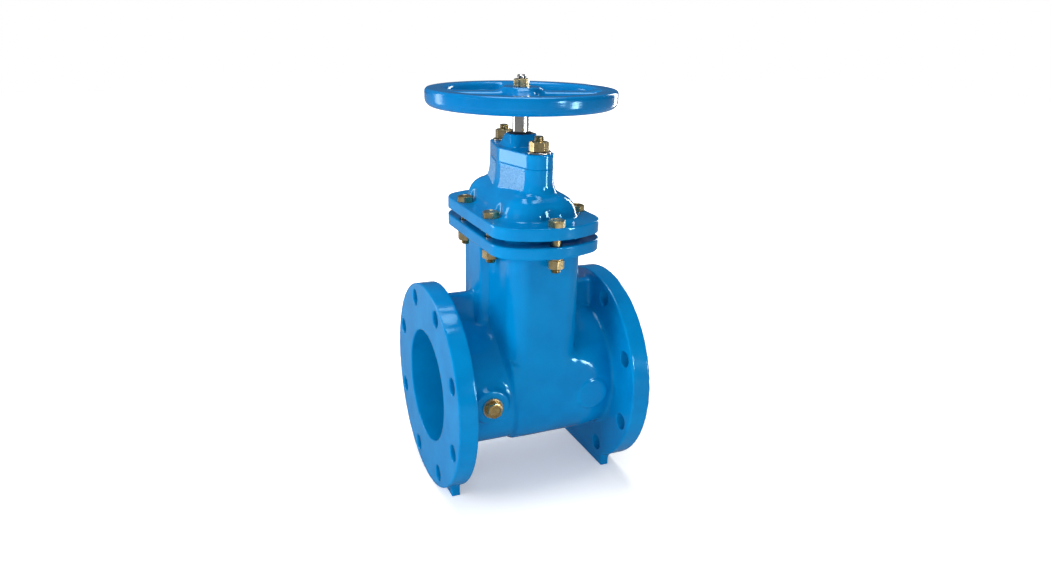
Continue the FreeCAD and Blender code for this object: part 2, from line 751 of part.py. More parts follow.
def arm_section(half_width):
    """Spoke section: flat oval lying across the spoke."""
    reach = f"( {half_width} - spoke_half_height )"
    return [(reach, "spoke_level", "spoke_half_height"),
            (f"-1 * {reach}", "spoke_level", "spoke_half_height")]


def make_handwheel_nut():
    blank = hexagon("wheel_nut_blank", "wheel_nut_flats", "wheel_nut_height", "0", "0", "hub_top")
    bore = cylinder("wheel_nut_bore", "stem_stud_diameter / 2", "40", z="hub_top - 5")
    turn_with_wheel(finish(cut("wheel_nut_cut", blank, bore), "handwheel_nut"))


# Wedge ----------------------------------------------------------------------------------------

def wedge_solid(name, inset):
    """Tapered disc with rounded rim and a round hub on top, shrunk all round by inset."""
    gap = f"( chest_wall + wedge_gap + {inset} )"
    width = f"( wedge_half_width - {inset} )"
    shell = chest_solid(f"{name}_shell", gap, "cavity_corner")
    slab = block(f"{name}_slab", f"-1 * {width}", "-1 * chest_half_length", "taper_bottom",
                 f"2 * {width}", "2 * chest_half_length", "body_plate_top")
    disc = cylinder(f"{name}_disc", f"chest_bottom_radius - {gap}",
                    "2 * chest_half_width", x="-1 * chest_half_width", axis="X")
    hub = cylinder(f"{name}_hub", f"wedge_hub_radius - {inset}", f"wedge_hub_top - {inset}")
    return fuse(name, [common(f"{name}_plate", [shell, slab, disc]), hub])


def wedge_spaces(name):
    """Slot for the stem nut and the two guide lugs, as tools of their own."""
    slot = block(f"{name}_nut_slot", "-1 * stem_nut_width / 2", "-1 * stem_nut_width / 2",
                 "stem_nut_bottom", "100", "stem_nut_width", "stem_nut_top - stem_nut_bottom")
    lugs = [block(f"{name}_lug_{word}", "-1 * shoe_half_width / 2", start, "shoe_bottom",
                  "shoe_half_width", "lug_reach - lug_root", "shoe_top - shoe_bottom")
            for word, start in (("front", "-1 * lug_reach"), ("back", "lug_root"))]
    return slot, lugs


def make_wedge():
    slot, lugs = wedge_spaces("core")
    passage = cylinder("core_passage", "wedge_passage + lining", "260", z="-130")
    finish(cut("core_cut", fuse("core_outside", [wedge_solid("core", "wedge_coat")] + lugs),
               fuse("core_hollows", [passage, slot])), "wedge_core")
    slot, lugs = wedge_spaces("coat")
    lining = cylinder("coat_lining", "wedge_passage + lining", "260", z="-130")
    filling = cut("coat_filling", wedge_solid("coat_core", "wedge_coat"), lining)
    passage = cylinder("coat_passage", "wedge_passage", "260", z="-130")
    finish(cut("coat_cut", wedge_solid("coat", "0"),
               fuse("coat_hollows", [filling, passage, slot] + lugs)), "wedge_rubber")


def make_stem_nut():
    half = "( stem_nut_width - stem_nut_play ) / 2"
    body = new_body("stem_nut")
    pad(body, "nut_block", "stem_nut_bottom", "stem_nut_top - stem_nut_bottom",
        outline=rounded_rectangle(half, half, "stem_nut_corner"))
    pad(body, "nut_bore", "stem_nut_top + 1", "stem_nut_top - stem_nut_bottom + 2",
        circles=[("0", "0", "stem_diameter / 2 + running_clearance")], kind="PartDesign::Pocket")


def make_guide_shoes():
    shoes = [block(f"shoe_{word}", "-1 * shoe_half_width", start, "shoe_bottom",
                   "2 * shoe_half_width", "shoe_outer - lug_reach", "shoe_top - shoe_bottom")
             for word, start in (("front", "-1 * shoe_outer"), ("back", "lug_reach"))]
    group("guide_shoes", shoes)


# Drain plug -----------------------------------------------------------------------------------

def make_drain_plug():
    """Hexagon-headed plug on its washer; its axis runs along Y."""
    seat = "( drain_face + plug_washer_thickness )"
    face = f"( {seat} + plug_head )"
    head = bind(doc.addObject("Part::Prism", "plug_prism"), Circumradius="plug_flats / 2 / cos(30 )",
                Height="plug_head")
    head.Polygon = 6
    head.Placement.Rotation = FreeCAD.Rotation(FreeCAD.Vector(1, 0, 0), -90)
    place(head, "-1 * boss_offset", f"-1 * {face}", "0")
    thread = cylinder("plug_thread", "drain_hole / 2", "plug_length + plug_washer_thickness + 1",
                      x="-1 * boss_offset", y=f"-1 * {seat} - 1", axis="Y")
    finish(fuse("plug_fused", [head, thread]), "drain_plug")
    disc = cylinder("plug_disc", "plug_washer_radius", "plug_washer_thickness",
                    x="-1 * boss_offset", y=f"-1 * ( {seat} )", axis="Y")
    eye = cylinder("plug_eye", "drain_hole / 2", "20", x="-1 * boss_offset",
                   y=f"-1 * ( {seat} ) - 5", axis="Y")
    finish(cut("plug_washer_cut", disc, eye), "drain_plug_washer")


# Checks and output ----------------------------------------------------------------------------

def check_document():
    doc.recompute()
    for obj in doc.Objects:
        if "Invalid" in obj.State or "Error" in obj.State:
            raise RuntimeError(f"{obj.Name} failed: {obj.State}")
    for node in NODES:
        shape = node.Shape
        if shape.isNull() or not shape.isValid() or not shape.Solids:
            raise RuntimeError(f"{node.Label} has no valid solid")


def write_steps():
    os.makedirs("parts", exist_ok=True)
    for node in NODES:
        node.Shape.exportStep(f"parts/{node.Label}.step")
        print(f"{node.Label}: {len(node.Shape.Solids)} solids, {node.Shape.Volume / 1000:.1f} cm3")


NODES = []
fill_sheet()
make_body_casting()
make_bonnet_casting()
make_bonnet_gasket()
make_bonnet_bolts()
make_gland_fasteners()
make_gland_housing()
make_gland_bush()
make_seals()
make_stem()
make_handwheel()
make_handwheel_nut()
make_wedge()
make_stem_nut()
make_guide_shoes()
make_drain_plug()
check_document()
write_steps()
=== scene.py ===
"""Looks of a flanged gate valve: epoxy-coated castings, zinc-plated fasteners, polished stem.

Lengths are metres in the row frame: X along the pipe, Y across it, Z up the stem, and the feet
stand on Z = 0.  Body, bonnet, gland housing and handwheel are replaced by skins with cast fillets
in their inside corners, and the fasteners, plug, stem and wiper by pieces with chamfers, threads
and lips.
"""

import json
import math

import bmesh
import bpy
import numpy as np
from mathutils import Matrix, Vector

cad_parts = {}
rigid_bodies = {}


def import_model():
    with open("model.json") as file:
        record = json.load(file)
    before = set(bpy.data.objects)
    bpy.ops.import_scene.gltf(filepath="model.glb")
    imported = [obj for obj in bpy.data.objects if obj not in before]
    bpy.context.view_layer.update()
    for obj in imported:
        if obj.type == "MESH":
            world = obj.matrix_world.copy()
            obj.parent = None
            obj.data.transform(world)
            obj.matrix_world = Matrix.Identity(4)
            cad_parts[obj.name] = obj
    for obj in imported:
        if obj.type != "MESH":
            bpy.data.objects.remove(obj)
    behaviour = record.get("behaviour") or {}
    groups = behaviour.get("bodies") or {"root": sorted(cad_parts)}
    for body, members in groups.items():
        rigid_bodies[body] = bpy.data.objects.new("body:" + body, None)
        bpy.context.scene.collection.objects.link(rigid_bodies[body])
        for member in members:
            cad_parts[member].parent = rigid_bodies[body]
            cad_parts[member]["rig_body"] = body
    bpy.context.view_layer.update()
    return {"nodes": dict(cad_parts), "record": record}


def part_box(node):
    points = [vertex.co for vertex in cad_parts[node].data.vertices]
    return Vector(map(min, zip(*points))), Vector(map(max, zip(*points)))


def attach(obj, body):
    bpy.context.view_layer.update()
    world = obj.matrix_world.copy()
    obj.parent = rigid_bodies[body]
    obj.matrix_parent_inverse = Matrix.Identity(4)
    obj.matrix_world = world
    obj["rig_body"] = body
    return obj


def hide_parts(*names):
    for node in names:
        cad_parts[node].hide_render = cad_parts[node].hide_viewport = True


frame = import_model()
nodes = frame["nodes"]

MM = 0.001
AXIS_HEIGHT = 140.7 * MM


# Shader helpers -------------------------------------------------------------------------------

class Shader:
    """A node material, with short calls for the nodes that most coatings and metals share."""

    def __init__(self, name, **sockets):
        self.material = bpy.data.materials.new(name)
        self.material.use_nodes = True
        self.nodes = self.material.node_tree.nodes
        self.links = self.material.node_tree.links
        self.surface = self.nodes["Principled BSDF"]
        for socket, value in sockets.items():
            self.surface.inputs[socket.replace("_", " ")].default_value = value
        self.place = self.nodes.new("ShaderNodeTexCoord").outputs["Object"]

    def join(self, source, target):
        self.links.new(source, target)

    def noise(self, scale, detail=4.0, roughness=0.55, stretch=(1, 1, 1)):
        mapping = self.nodes.new("ShaderNodeMapping")
        mapping.inputs["Scale"].default_value = stretch
        self.join(self.place, mapping.inputs["Vector"])
        texture = self.nodes.new("ShaderNodeTexNoise")
        texture.inputs["Scale"].default_value = scale
        texture.inputs["Detail"].default_value = detail
        texture.inputs["Roughness"].default_value = roughness
        self.join(mapping.outputs["Vector"], texture.inputs["Vector"])
        return texture.outputs["Fac"]

    def spread(self, value, low, high, out_low=0.0, out_high=1.0):
        node = self.nodes.new("ShaderNodeMapRange")
        for socket, number in (("From Min", low), ("From Max", high),
                               ("To Min", out_low), ("To Max", out_high)):
            node.inputs[socket].default_value = number
        self.join(value, node.inputs["Value"])
        return node.outputs["Result"]

    def mix(self, factor, first, second):
        node = self.nodes.new("ShaderNodeMix")
        node.data_type = "RGBA"
        self.join(factor, node.inputs["Factor"])
        for socket, colour in ((node.inputs[6], first), (node.inputs[7], second)):
            if isinstance(colour, tuple):
                socket.default_value = (*colour, 1)
            else:
                self.join(colour, socket)
        return node.outputs[2]

    def sum(self, first, second, share):
        node = self.nodes.new("ShaderNodeMath")
        node.operation = "MULTIPLY_ADD"
        self.join(second, node.inputs[0])
        node.inputs[1].default_value = share
        self.join(first, node.inputs[2])
        return node.outputs[0]

    def colour(self, socket):
        self.join(socket, self.surface.inputs["Base Color"])

    def roughness(self, socket):
        self.join(socket, self.surface.inputs["Roughness"])

    def bump(self, height, strength, distance):
        node = self.nodes.new("ShaderNodeBump")
        node.inputs["Strength"].default_value = strength
        node.inputs["Distance"].default_value = distance
        self.join(height, node.inputs["Height"])
        self.join(node.outputs["Normal"], self.surface.inputs["Normal"])
        self.join(node.outputs["Normal"], self.surface.inputs["Coat Normal"])


BLUE, BLUE_DEEP = (0.0, 0.212, 0.515), (0.0, 0.18, 0.46)
# The wheel's two blues are the castings' epoxy darkened as painted shade, standing in for less
# light falling on the wheel.
WHEEL_SHADED_BLUE, WHEEL_SHADE_DEEP_BLUE = (0.0, 0.165, 0.44), (0.0, 0.14, 0.39)
# The pale grain colour is a painted reflection: glints laid on the tops of the stippled pad's
# grain.
GRAIN_PAINTED_GLINT, GRAIN_DEEP = (0.2, 0.42, 0.7), (0.03, 0.23, 0.52)
BLUE_GLOSS = (0.42, 0.8, 1.0, 1.0)
PALE_GLOSS = (0.6, 0.85, 1.0, 1.0)


def epoxy_paint(name, dark, light, peel, low, high):
    """Glossy fusion-bonded epoxy with fine orange peel, between two blues and two roughnesses."""
    shader = Shader(name, Specular_IOR_Level=0.5, Specular_Tint=BLUE_GLOSS)
    shader.colour(shader.mix(shader.spread(shader.noise(22), 0.35, 0.65), dark, light))
    shader.roughness(shader.spread(shader.noise(60), 0.3, 0.7, low, high))
    runs = shader.sum(shader.noise(75, 2), shader.noise(260, 2), 0.5)
    shader.bump(shader.sum(runs, shader.noise(900, 3), 0.2), peel, 0.001)
    return shader.material


def stippled_paint(name):
    """The same epoxy over a patch left as rough as the sand mould, its grain tops painted pale as
    painted glints of reflected light.
    """
    shader = Shader(name, Specular_IOR_Level=0.8, Specular_Tint=PALE_GLOSS)
    grain = shader.noise(420, 5, 0.7)
    shader.colour(shader.mix(shader.spread(grain, 0.35, 0.65), GRAIN_DEEP, GRAIN_PAINTED_GLINT))
    shader.roughness(shader.spread(shader.noise(300), 0.3, 0.7, 0.25, 0.4))
    shader.bump(grain, 0.9, 0.0012)
    return shader.material


def plated_zinc(name, light=(0.74, 0.60, 0.33), dark=(0.52, 0.40, 0.19)):
    """Yellow passivated zinc plating, mottled where the colour is thicker."""
    shader = Shader(name, Metallic=1.0)
    shader.colour(shader.mix(shader.spread(shader.noise(110), 0.35, 0.65), dark, light))
    shader.roughness(shader.spread(shader.noise(260), 0.3, 0.7, 0.22, 0.38))
    shader.bump(shader.noise(900, 2), 0.12, 0.0004)
    return shader.material


def polished_steel(name):
    """Turned and polished steel: fine rings round the stem."""
    shader = Shader(name, Metallic=1.0)
    shader.colour(shader.mix(shader.noise(40), (0.60, 0.60, 0.60), (0.74, 0.74, 0.73)))
    rings = shader.noise(30, 2, stretch=(1, 1, 90))
    shader.roughness(shader.spread(rings, 0.3, 0.7, 0.12, 0.24))
    shader.bump(rings, 0.05, 0.0003)
    return shader.material


def rubber(name):
    shader = Shader(name)
    shader.colour(shader.mix(shader.noise(120), (0.010, 0.010, 0.012), (0.028, 0.028, 0.032)))
    shader.roughness(shader.spread(shader.noise(200), 0.3, 0.7, 0.42, 0.62))
    shader.bump(shader.noise(700, 2), 0.2, 0.0004)
    return shader.material


def machined_brass(name, light=(0.80, 0.60, 0.28), dark=(0.60, 0.41, 0.15)):
    shader = Shader(name, Metallic=1.0)
    shader.colour(shader.mix(shader.spread(shader.noise(70), 0.35, 0.65), dark, light))
    shader.roughness(shader.spread(shader.noise(240), 0.3, 0.7, 0.2, 0.36))
    shader.bump(shader.noise(600, 3), 0.1, 0.0004)
    return shader.material


def nylon(name):
    shader = Shader(name)
    shader.colour(shader.mix(shader.noise(60), (0.62, 0.58, 0.48), (0.70, 0.67, 0.58)))
    shader.roughness(shader.spread(shader.noise(150), 0.3, 0.7, 0.4, 0.55))
    shader.bump(shader.noise(500, 2), 0.1, 0.0004)
    return shader.material


def cast_iron(name):
    shader = Shader(name, Metallic=0.7)
    shader.colour(shader.mix(shader.noise(80), (0.10, 0.10, 0.10), (0.19, 0.18, 0.17)))
    shader.roughness(shader.spread(shader.noise(200), 0.3, 0.7, 0.5, 0.7))
    shader.bump(shader.noise(400), 0.4, 0.0006)
    return shader.material


FINISHES = {
    "casting_paint": epoxy_paint("epoxy_blue", BLUE_DEEP, BLUE, 0.13, 0.08, 0.14),
    # The wheel paint's darker blues are painted shade.
    "wheel_paint": epoxy_paint("epoxy_blue_wheel_painted_shade", WHEEL_SHADE_DEEP_BLUE, WHEEL_SHADED_BLUE, 0.1, 0.12, 0.18),
    "gasket_rubber": rubber("gasket_black"),
    "zinc_fastener": plated_zinc("zinc_yellow"),
    "zinc_washer": plated_zinc("zinc_washer_grey", (0.62, 0.60, 0.55), (0.45, 0.43, 0.38)),
    "bush_bronze": machined_brass("bronze_bush"),
    "seal_rubber": rubber("seal_black"),
    "wiper_rubber": rubber("wiper_black"),
    "thrust_plastic": nylon("thrust_nylon"),
    "plug_brass": machined_brass("brass_plug"),
    "plug_washer": machined_brass("plug_washer_pale", (0.88, 0.80, 0.68), (0.74, 0.66, 0.52)),
    "stem_steel": polished_steel("stem_polished"),
    "wedge_iron": cast_iron("wedge_iron"),
    "wedge_rubber": rubber("wedge_black"),
    "nut_bronze": machined_brass("bronze_nut"),
    "shoe_plastic": nylon("shoe_nylon"),
}
SLOTS = {entry["node"]: entry["material_slot"] for entry in frame["record"]["subparts"]}


def paint_nodes():
    for name, node in nodes.items():
        node.data.materials.clear()
        node.data.materials.append(FINISHES[SLOTS[name]])


def link(name, data):
    """An object in the scene for a mesh, a camera or a light."""
    thing = bpy.data.objects.new(name, data)
    bpy.context.scene.collection.objects.link(thing)
    return thing


def stand_in(piece, node):
    """Show a piece in a CAD node's place, on the same body and with the same finish."""
    piece.data.materials.clear()
    piece.data.materials.append(FINISHES[SLOTS[node]])
    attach(piece, nodes[node]["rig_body"])
    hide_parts(node)


# Cast skins -----------------------------------------------------------------------------------

ROD_SIDES = 48


class Skin:
    """Surface of a casting, with metal grown into its inside corners where a weight allows."""

    NORMAL_STEPS = 10
    STRIDE = 0.9

    def __init__(self, mesh):
        self.mesh = mesh
        count = len(mesh.vertices)
        self.place = np.empty(count * 3)
        mesh.vertices.foreach_get("co", self.place)
        self.place = self.place.reshape(-1, 3)
        ends = np.empty(len(mesh.edges) * 2, np.int64)
        mesh.edges.foreach_get("vertices", ends)
        pairs = ends.reshape(-1, 2)
        self.here = np.concatenate([pairs[:, 0], pairs[:, 1]])
        self.there = np.concatenate([pairs[:, 1], pairs[:, 0]])

    def normals(self):
        self.store()
        out = np.empty(len(self.place) * 3)
        self.mesh.vertex_normals.foreach_get("vector", out)
        return out.reshape(-1, 3)

    def neighbourhood(self, weight):
        """The vertices that may move, and a call for how far each lies from its neighbours."""
        moving = np.flatnonzero(weight > 0)
        order = np.full(len(self.place), -1)
        order[moving] = np.arange(len(moving))
        used = order[self.here] >= 0
        here, there = order[self.here[used]], self.there[used]
        links = np.bincount(here, minlength=len(moving))

        def pull():
            total = [np.bincount(here, self.place[there, axis], len(moving)) for axis in range(3)]
            return np.stack(total, 1) / links[:, None] - self.place[moving]

        return moving, pull

    def smooth(self, weight, rounds):
        moving, pull = self.neighbourhood(weight)
        for _ in range(rounds):
            self.place[moving] += 0.5 * weight[moving, None] * pull()

    def fill_corners(self, weight, rounds):
        """Only ever grow outwards, so outside edges and flat faces stay where they are."""
        moving, pull = self.neighbourhood(weight)
        share = self.STRIDE * weight[moving]
        for step in range(rounds):
            if step % self.NORMAL_STEPS == 0:
                normal = self.normals()[moving]
            outward = np.clip((pull() * normal).sum(1), 0, None)
            self.place[moving] += (share * outward)[:, None] * normal

    def store(self):
        self.mesh.vertices.foreach_set("co", self.place.ravel())
        self.mesh.update()


def remeshed(node, voxel, cutters=()):
    """Even mesh over a CAD node's shape, less the cutters, as an object of its own."""
    piece = link(f"{node}_skin", nodes[node].data.copy())
    work = bmesh.new()
    work.from_mesh(piece.data)
    bmesh.ops.remove_doubles(work, verts=work.verts, dist=0.01 * MM)
    work.to_mesh(piece.data)
    work.free()
    bpy.context.view_layer.objects.active = piece
    for cutter in cutters:
        cut = piece.modifiers.new("cut", "BOOLEAN")
        cut.operation = "DIFFERENCE"
        cut.object = cutter
        bpy.ops.object.modifier_apply(modifier=cut.name)
        bpy.data.objects.remove(cutter)
    piece.data.remesh_voxel_size = voxel
    bpy.ops.object.voxel_remesh()
    return piece


def rod(place, radius, bottom, top):
    """Plain upright cutter."""
    work = bmesh.new()
    turn = Matrix.Translation((place[0], place[1], (bottom + top) / 2))
    bmesh.ops.create_cone(work, cap_ends=True, segments=ROD_SIDES, radius1=radius, radius2=radius,
                          depth=top - bottom, matrix=turn)
    mesh = bpy.data.meshes.new("rod")
    work.to_mesh(mesh)
    work.free()
    return link("rod", mesh)


def finish_skin(piece, skin, node):
    """The worked surface, smooth-shaded, in the CAD node's place."""
    skin.store()
    faces = piece.data.polygons
    faces.foreach_set("use_smooth", np.ones(len(faces), bool))
    stand_in(piece, node)


def near_any(x, y, centres, reach):
    return np.any([np.hypot(x - cx, y - cy) < reach for cx, cy in centres], axis=0)


def soft_step(value, width):
    return 1 / (1 + np.exp(np.clip(-value / width, -50, 50)))


def smooth_ramp(value, start, end):
    """0 at the start and 1 at the end, level at both."""
    run = np.clip((value - start) / (end - start), 0, 1)
    return run * run * (3 - 2 * run)


def passes(full):
    return full


COVER_BOLTS = [(x * MM, y * MM) for x, y in
               ((59, 48), (59, -48), (-59, 48), (-59, -48), (0, 116), (0, -116))]
BOLT_HEAD = 8.0 * MM
GLAND_STUDS = ((0, 58 * MM), (0, -58 * MM))
BOLT_CLEARANCE = 11 * MM

# Body: its heights are above the pipe's axis.  The middle of the wall parts outside from inside
FLANGE_BOLTS = 8
FLANGE_BOLT_CIRCLE = 241.3 * MM / 2
FLANGE_BOLT_CLEARANCE = 13 * MM
FLANGE_BACK = 100 * MM
BODY_PLATE_BOTTOM = 195 * MM
MACHINED_FACE, MACHINED_TOP, MACHINED_FOOT = 0.9 * MM, 6.5 * MM, 1.2 * MM
BORE_SKIN = 82 * MM
CHEST_HALF_WIDTH = 49 * MM
CHEST_TAPER_TOP = 50 * MM
CHEST_TAPER = 0.168
WALL_MIDDLE = 5 * MM
CHEST_MIDDLE_LOW = 84.5 * MM
CHEST_MIDDLE_HIGH = 94.5 * MM
CHEST_MIDDLE_CORNER = 19 * MM
CHEST_KNEE = 90.5 * MM
FILLETS = (-100 * MM, 190 * MM)
LOW_CREASE = -40 * MM
CREASE_FADE = 60 * MM

# Belly: flat in front above the pipe's axis, oval below it, down to the barrel at its right end
BARREL_RADIUS = 88 * MM
BELLY_RISE = 9 * MM
BELLY_RISE_BY_CHEST = 2.2
BELLY_FALL = (40 * MM, 90 * MM)
BELLY_FRONT = 94.8 * MM
BELLY_BOTTOM = 90 * MM
BELLY_STEEPEST = 60
BELLY_CREASE = 0.5 * MM
BELLY_RUN_OUT = (80 * MM, 106 * MM)
BELLY_HIGH_TILT = (24, 62)
BELLY_TOP = (50 * MM, 85 * MM)
BELLY_BLEND = 1.5 * MM
BELLY_BLEND_MOST, BELLY_BLEND_LEAST = 20, -6
BELLY_EDGE = 4
BELLY_REACH = 125 * MM
SMOOTH_START = (15 * MM, 45 * MM)
SMOOTH_END = (88 * MM, 100 * MM)
SMOOTH_TOP = (45 * MM, 95 * MM)
SMOOTH_FOOT = (-90 * MM, -75 * MM)
SMOOTH_REACH = 130 * MM
BOSS_OFFSET = 72 * MM
BOSS_DROP = -6 * MM
BOSS_RADIUS = 22 * MM
BOSS_RISE = 4.5 * MM
BOSS_FACE = 97 * MM
BOSS_EDGE = 0.6 * MM


def from_axis(place):
    """X, Y and height above the pipe's axis, and the distance from that axis."""
    x, y, z = place[:, 0], place[:, 1], place[:, 2] - AXIS_HEIGHT
    return x, y, z, np.hypot(y, z)


def chest_side(z):
    """Half width of the chest, which narrows downwards."""
    return CHEST_HALF_WIDTH - CHEST_TAPER * np.clip(CHEST_TAPER_TOP - z, 0, None)


def body_weights(place):
    """1 on the rough outside of the body, 0 inside it and on its machined faces and holes."""
    low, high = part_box("body_casting")
    x, y, z, radius = from_axis(place)
    side = chest_side(z) - WALL_MIDDLE
    rise = np.clip(z / CHEST_KNEE, 0, 1)
    front = CHEST_MIDDLE_LOW + (CHEST_MIDDLE_HIGH - CHEST_MIDDLE_LOW) * rise
    corner = np.hypot(np.clip(np.abs(x) - side + CHEST_MIDDLE_CORNER, 0, None),
                      np.clip(np.abs(y) - front + CHEST_MIDDLE_CORNER, 0, None))
    inside_chest = (corner < CHEST_MIDDLE_CORNER) & ((z > 0) | (radius < BORE_SKIN))
    turns = [math.tau * (k + 0.5) / FLANGE_BOLTS for k in range(FLANGE_BOLTS)]
    spots = [(FLANGE_BOLT_CIRCLE * math.cos(turn), FLANGE_BOLT_CIRCLE * math.sin(turn))
             for turn in turns]
    machined = ((np.abs(x) > high.x - MACHINED_FACE) | (place[:, 2] > high.z - MACHINED_TOP)
                | (place[:, 2] < low.z + MACHINED_FOOT)
                | near_any(y, z, spots, FLANGE_BOLT_CLEARANCE) & (np.abs(x) > FLANGE_BACK)
                | near_any(x, y, COVER_BOLTS, BOLT_CLEARANCE) & (z > BODY_PLATE_BOTTOM))
    weight = np.ones(len(place))
    weight[(radius < BORE_SKIN) | inside_chest | machined] = 0
    return weight


def cast_body():
    piece = remeshed("body_casting", 2.0 * MM)
    skin = Skin(piece.data)
    weight = body_weights(skin.place)
    x, _, z, _ = from_axis(skin.place)
    between = (np.abs(x) < FLANGE_BACK) & (z > FILLETS[0]) & (z < FILLETS[1])
    upper = np.clip((z - LOW_CREASE) / CREASE_FADE, 0, 1)
    skin.fill_corners(weight, 14)
    skin.fill_corners(weight * between * upper, passes(110))
    skin.smooth(weight * 0.6, 3)
    swell_belly(skin, weight)
    skin.smooth(weight * 0.5, 3)
    skin.smooth(weight * run_out(skin.place), passes(60))
    raise_boss(skin, weight)
    finish_skin(piece, skin, "body_casting")


def swell_belly(skin, weight):
    """Carry the chest round the barrel: a crease on its left, a rounded shoulder on its right."""
    x, y, z, radius = from_axis(skin.place)
    tilt = np.degrees(np.arctan2(z, np.abs(y)))
    slope = np.radians(np.clip(tilt, -90, BELLY_STEEPEST))
    oval = 1 / np.hypot(np.cos(slope) / BELLY_FRONT, np.sin(slope) / BELLY_BOTTOM)
    front = np.where(tilt > 0, BELLY_FRONT / np.cos(slope), oval) - BARREL_RADIUS
    fall = (BELLY_RISE_BY_CHEST - 1) * smooth_ramp(x, *BELLY_FALL)
    most = BELLY_RISE * (BELLY_RISE_BY_CHEST - fall)
    along = (soft_step(x + chest_side(z), BELLY_CREASE) * (1 - smooth_ramp(x, *BELLY_RUN_OUT))
             * (1 - smooth_ramp(tilt, *BELLY_HIGH_TILT)))
    target = BARREL_RADIUS + np.minimum(front, most) * along
    lack = np.clip((target - radius) / BELLY_BLEND, -BELLY_BLEND_MOST, BELLY_BLEND_MOST)
    gain = BELLY_BLEND * np.log1p(np.exp(lack)) * (lack > BELLY_BLEND_LEAST)
    gain *= (weight * np.clip(along * BELLY_EDGE, 0, 1) * (radius < BELLY_REACH)
             * (1 - smooth_ramp(z, *BELLY_TOP)))
    skin.place[:, 1] += gain * y / radius
    skin.place[:, 2] += gain * z / radius


def run_out(place):
    """Where the belly has no crease: from the right of the chest to the right flange."""
    x, _, z, radius = from_axis(place)
    return (smooth_ramp(x, *SMOOTH_START) * (1 - smooth_ramp(x, *SMOOTH_END))
            * (1 - smooth_ramp(z, *SMOOTH_TOP)) * smooth_ramp(z, *SMOOTH_FOOT)
            * (radius < SMOOTH_REACH))


def raise_boss(skin, weight):
    """A flat round pad in front and behind, to the right of the chest."""
    x, y, z, _ = from_axis(skin.place)
    edge = BOSS_RADIUS - np.hypot(x - BOSS_OFFSET, z - BOSS_DROP)
    rise = np.clip(BOSS_FACE - np.abs(y), 0, BOSS_RISE) * soft_step(edge, BOSS_EDGE)
    skin.place[:, 1] += rise * weight * (np.abs(y) > BORE_SKIN) * np.sign(y)


# Bonnet: pockets round the bolt heads, filleted dome and neck with its rough panels
SIDE_POCKET = 15.5 * MM
END_POCKET = 22.0 * MM
POCKET_TOP = 262 * MM
STEM_PASSAGE_BOTTOM = 250 * MM
STEM_PASSAGE_PLAY = 0.4 * MM
NECK_CORE = 27 * MM
STUD_CLEARANCE = 9 * MM
BONNET_PLATE = 9 * MM
BONNET_HOLLOW = (36 * MM, 82 * MM, 14 * MM)
DOME_FOOT = 16 * MM
NECK_MACHINED = 0.8 * MM
PAD_MIDDLE = (282 * MM, 35 * MM)
PAD_REACH = (14.5 * MM, 27 * MM)
PAD_EDGE = (0.5 * MM, 0.6 * MM)
PAD_RISE = 0.8 * MM
STIPPLE_WITH_PAINTED_GLINT = stippled_paint("epoxy_blue_stippled_painted_glint")


def cast_bonnet():
    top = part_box("bonnet_casting")[1].z
    plate_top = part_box("bonnet_bolts")[1].z - BOLT_HEAD
    cutters = [rod((x, y), END_POCKET if x == 0 else SIDE_POCKET, plate_top,
                   AXIS_HEIGHT + POCKET_TOP) for x, y in COVER_BOLTS]
    cutters.append(rod((0, 0), STEM_RADIUS + STEM_PASSAGE_PLAY,
                       AXIS_HEIGHT + STEM_PASSAGE_BOTTOM, COLLAR[0]))
    piece = remeshed("bonnet_casting", 1.5 * MM, cutters)
    skin = Skin(piece.data)
    x, y, z = skin.place.T
    half_width, half_length, height = BONNET_HOLLOW
    hollow = (np.abs(x) < half_width) & (np.abs(y) < half_length) & (z < plate_top + height)
    machined = ((np.hypot(x, y) < NECK_CORE) | (z > top - NECK_MACHINED)
                | near_any(x, y, GLAND_STUDS, STUD_CLEARANCE)
                | near_any(x, y, COVER_BOLTS, BOLT_CLEARANCE))
    weight = np.ones(len(skin.place))
    weight[(z <= plate_top - BONNET_PLATE) | hollow | machined] = 0
    skin.fill_corners(weight, 22)
    skin.fill_corners(weight * (z > plate_top + DOME_FOOT), passes(150))
    skin.smooth(weight * 0.6, 6)
    normal = skin.normals()
    flank = (np.abs(normal[:, 2]) < 0.5) & (weight > 0)
    off_level = np.abs(z - AXIS_HEIGHT - PAD_MIDDLE[0])
    off_side = np.abs(np.abs(y) - PAD_MIDDLE[1])
    pad = (soft_step(PAD_REACH[0] - off_level, PAD_EDGE[0])
           * soft_step(PAD_REACH[1] - off_side, PAD_EDGE[1]) * flank)
    skin.place += (pad * PAD_RISE)[:, None] * normal
    finish_skin(piece, skin, "bonnet_casting")
    # The raised panels get the stippled paint, whose pale grain tops are painted glints of
    # reflection.
    piece.data.materials.append(STIPPLE_WITH_PAINTED_GLINT)
    centres = np.array([pad[list(face.vertices)].min() for face in piece.data.polygons])
    piece.data.polygons.foreach_set("material_index", (centres > 0.5).astype(np.int32))


def cast_gland_housing():
    low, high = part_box("gland_housing")
    piece = remeshed("gland_housing", 1.2 * MM)
    skin = Skin(piece.data)
    x, y, z = skin.place.T
    weight = np.ones(len(skin.place))
    weight[(np.hypot(x, y) < 17.3 * MM) | (z < low.z + 0.6 * MM) | (z > high.z - 0.5 * MM)] = 0
    weight[near_any(x, y, GLAND_STUDS, 8.5 * MM)] = 0
    skin.fill_corners(weight, 60)
    skin.smooth(weight * 0.6, 4)
    finish_skin(piece, skin, "gland_housing")


